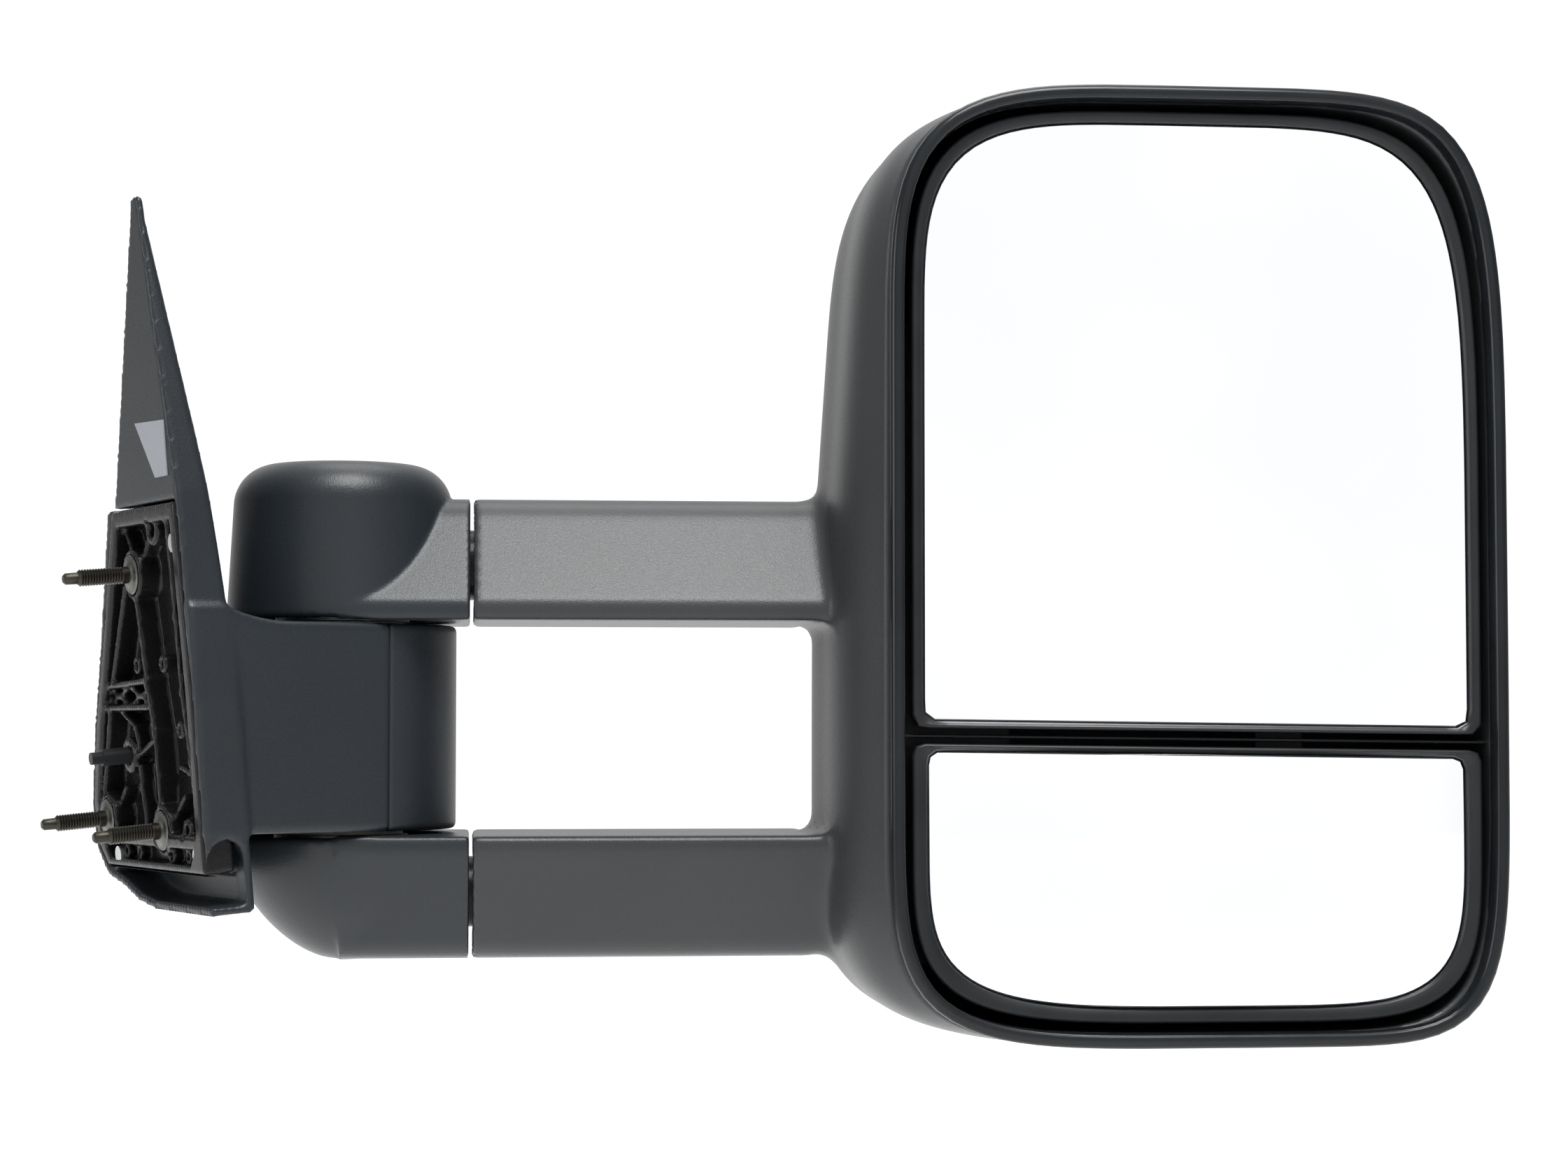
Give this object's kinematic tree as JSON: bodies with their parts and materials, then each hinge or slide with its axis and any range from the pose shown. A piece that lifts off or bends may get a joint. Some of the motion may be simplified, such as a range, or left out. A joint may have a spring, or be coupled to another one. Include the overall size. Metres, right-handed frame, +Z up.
{
  "type": "towing mirror",
  "caption": "Extendable towing mirror: triangular sail mount with studs, folding twin arms, tall head with a flat upper glass and a convex lower glass.",
  "frame": {"origin": "centre of the bracket's flat door face", "axes": "+X outboard along the telescoping arms, +Y towards the vehicle's front and square to the glass, +Z up along the fold pivot"},
  "size_m": [0.5163, 0.12, 0.335],
  "materials": {
    "cast_black": "gloss black paint on a die casting",
    "grained_plastic": "fine moulded grain, slate grey",
    "gloss_black": "smooth gloss black",
    "carrier_black": "satin black",
    "stud_steel": "dark olive plating",
    "plain_steel": "zinc plated",
    "nylon": "natural nylon",
    "alloy": "as cast",
    "tube_black": "satin black coating",
    "label": "satin silver film",
    "mirror": "first-surface silvered glass"
  },
  "bodies": {
    "base": {"mount_bracket": "cast_black", "base_cover": "grained_plastic", "barrel_cover": "grained_plastic", "mount_studs": "stud_steel", "locator_plug": "carrier_black", "label_plate": "label", "cover_screws": "plain_steel", "upper_pivot_bush": "nylon", "lower_pivot_bush": "nylon"},
    "arms": {"pivot_shaft": "plain_steel", "upper_arm_casting": "alloy", "lower_arm_casting": "alloy", "pivot_cap": "grained_plastic", "lower_arm_cover": "grained_plastic", "upper_arm_tube": "tube_black", "lower_arm_tube": "tube_black", "tube_pins": "plain_steel", "tube_stops": "carrier_black", "detent_spring": "plain_steel", "spring_washers": "plain_steel", "pivot_nut": "plain_steel"},
    "head": {"head_housing": "grained_plastic", "bezel": "gloss_black", "head_frame": "tube_black", "frame_screws": "plain_steel", "mouth_bushes": "carrier_black", "frame_bushes": "nylon", "friction_clips": "plain_steel", "upper_adjuster_base": "carrier_black", "lower_adjuster_base": "carrier_black"},
    "upper_gimbal": {"upper_gimbal_ring": "nylon"},
    "upper_glass": {"upper_carrier": "carrier_black", "upper_mirror_glass": "mirror"},
    "lower_gimbal": {"lower_gimbal_ring": "nylon"},
    "lower_glass": {"lower_carrier": "carrier_black", "lower_mirror_glass": "mirror"}
  },
  "joints": [
    {"name": "fold", "type": "hinge", "parent": "base", "child": "arms", "pos_m": [0.07314, 0.01685, -0.01195], "axis": [0, 0, 1], "range_deg": [-55, 80]},
    {"name": "extend", "type": "slide", "parent": "arms", "child": "head", "axis": [1, 0, 0], "range_m": [0, 0.095]},
    {"name": "upper_pan", "type": "hinge", "parent": "head", "child": "upper_gimbal", "pos_m": [0.37204, -0.03915, 0.09705], "axis": [0, 0, 1], "range_deg": [-8, 8]},
    {"name": "upper_tilt", "type": "hinge", "parent": "upper_gimbal", "child": "upper_glass", "pos_m": [0.37204, -0.03915, 0.09705], "axis": [1, 0, 0], "range_deg": [-8, 8]},
    {"name": "lower_pan", "type": "hinge", "parent": "head", "child": "lower_gimbal", "pos_m": [0.37204, -0.03915, -0.06495], "axis": [0, 0, 1], "range_deg": [-8, 8]},
    {"name": "lower_tilt", "type": "hinge", "parent": "lower_gimbal", "child": "lower_glass", "pos_m": [0.37204, -0.03915, -0.06495], "axis": [1, 0, 0], "range_deg": [-8, 8]}
  ]
}
